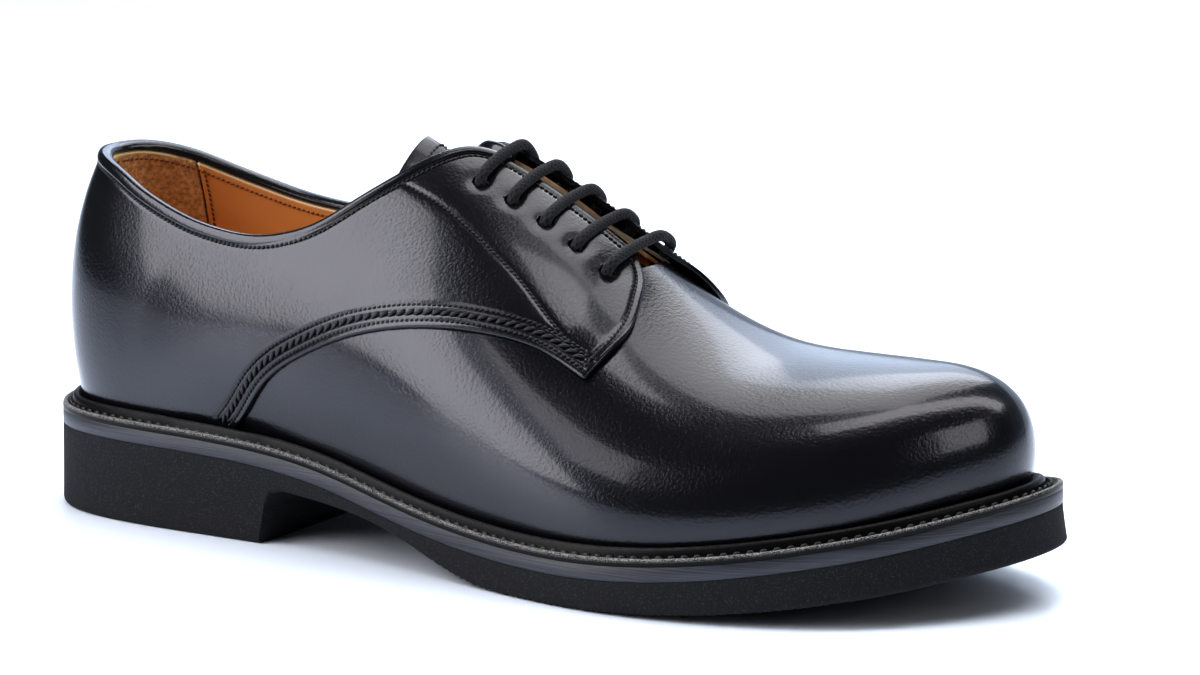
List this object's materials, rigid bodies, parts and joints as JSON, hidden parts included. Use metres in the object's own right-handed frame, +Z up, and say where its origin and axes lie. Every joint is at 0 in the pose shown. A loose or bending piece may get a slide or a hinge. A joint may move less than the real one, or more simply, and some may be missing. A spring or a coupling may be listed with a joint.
{
  "type": "leather derby shoe",
  "caption": "Black leather lace-up derby shoe for the right foot, plain toe, storm welt, low heel and a thick rubber unit sole.",
  "frame": {"origin": "middle of the sole's box on the ground", "axes": "+X from heel to toe, +Y towards the inner (medial) side, +Z up; the sole stands on Z = 0"},
  "size_m": [0.305, 0.1118, 0.1122],
  "materials": {
    "box_calf": "polished black smooth calf, soft wide highlights",
    "lining_calf": "tan vegetable-tanned lining leather, satin",
    "suede": "tan suede, matte nap",
    "insole_leather": "undyed leather board, matte",
    "stiffener": "fibre and leather stiffener, unseen",
    "rubber": "charcoal microcellular rubber, speckled matte",
    "midsole_edge": "dyed and waxed leather edge, fine scratches",
    "welt_leather": "black welt leather, dull",
    "cork": "pressed cork, unseen",
    "canvas": "gummed canvas rib, unseen",
    "steel": "spring steel, unseen",
    "cotton": "round woven lace, waxed charcoal black cotton",
    "thread": "waxed black thread",
    "aglet": "black plastic lace tip"
  },
  "bodies": {
    "shoe": {"outsole": "rubber", "midsole": "midsole_edge", "welt": "welt_leather", "welt_thread": "thread", "insole_rib": "canvas", "cork_filler": "cork", "shank": "steel", "insole": "insole_leather", "sock_liner": "lining_calf", "vamp": "box_calf", "vamp_lining": "lining_calf", "quarter_lateral": "box_calf", "quarter_medial": "box_calf", "quarter_lining_lateral": "lining_calf", "quarter_lining_medial": "lining_calf", "facing_stay_lateral": "stiffener", "facing_stay_medial": "stiffener", "heel_grip": "suede", "heel_counter": "stiffener", "heel_back_strip": "box_calf", "topline_binding": "box_calf", "lace": "cotton", "lace_end_lateral": "cotton", "lace_end_medial": "cotton", "aglet_lateral": "aglet", "aglet_medial": "aglet"},
    "toe": {"toe_puff": "stiffener"},
    "tongue": {"tongue": "box_calf", "tongue_lining": "lining_calf"}
  },
  "joints": [
    {"name": "ball_flex", "type": "hinge", "parent": "shoe", "child": "toe", "pos_m": [0.06, 0, 0.0155], "axis": [0, -1, 0], "range_deg": [0, 30], "stiffness_Nm_per_rad": 8, "deforming": ["outsole", "midsole", "welt", "welt_thread", "insole_rib", "cork_filler", "insole", "sock_liner", "vamp", "vamp_lining"]},
    {"name": "tongue_hinge", "type": "hinge", "parent": "shoe", "child": "tongue", "pos_m": [0.044, 0, 0.073], "axis": [0, 1, 0], "range_deg": [-8, 0], "stiffness_Nm_per_rad": 0.3, "springref_deg": 1.15}
  ]
}
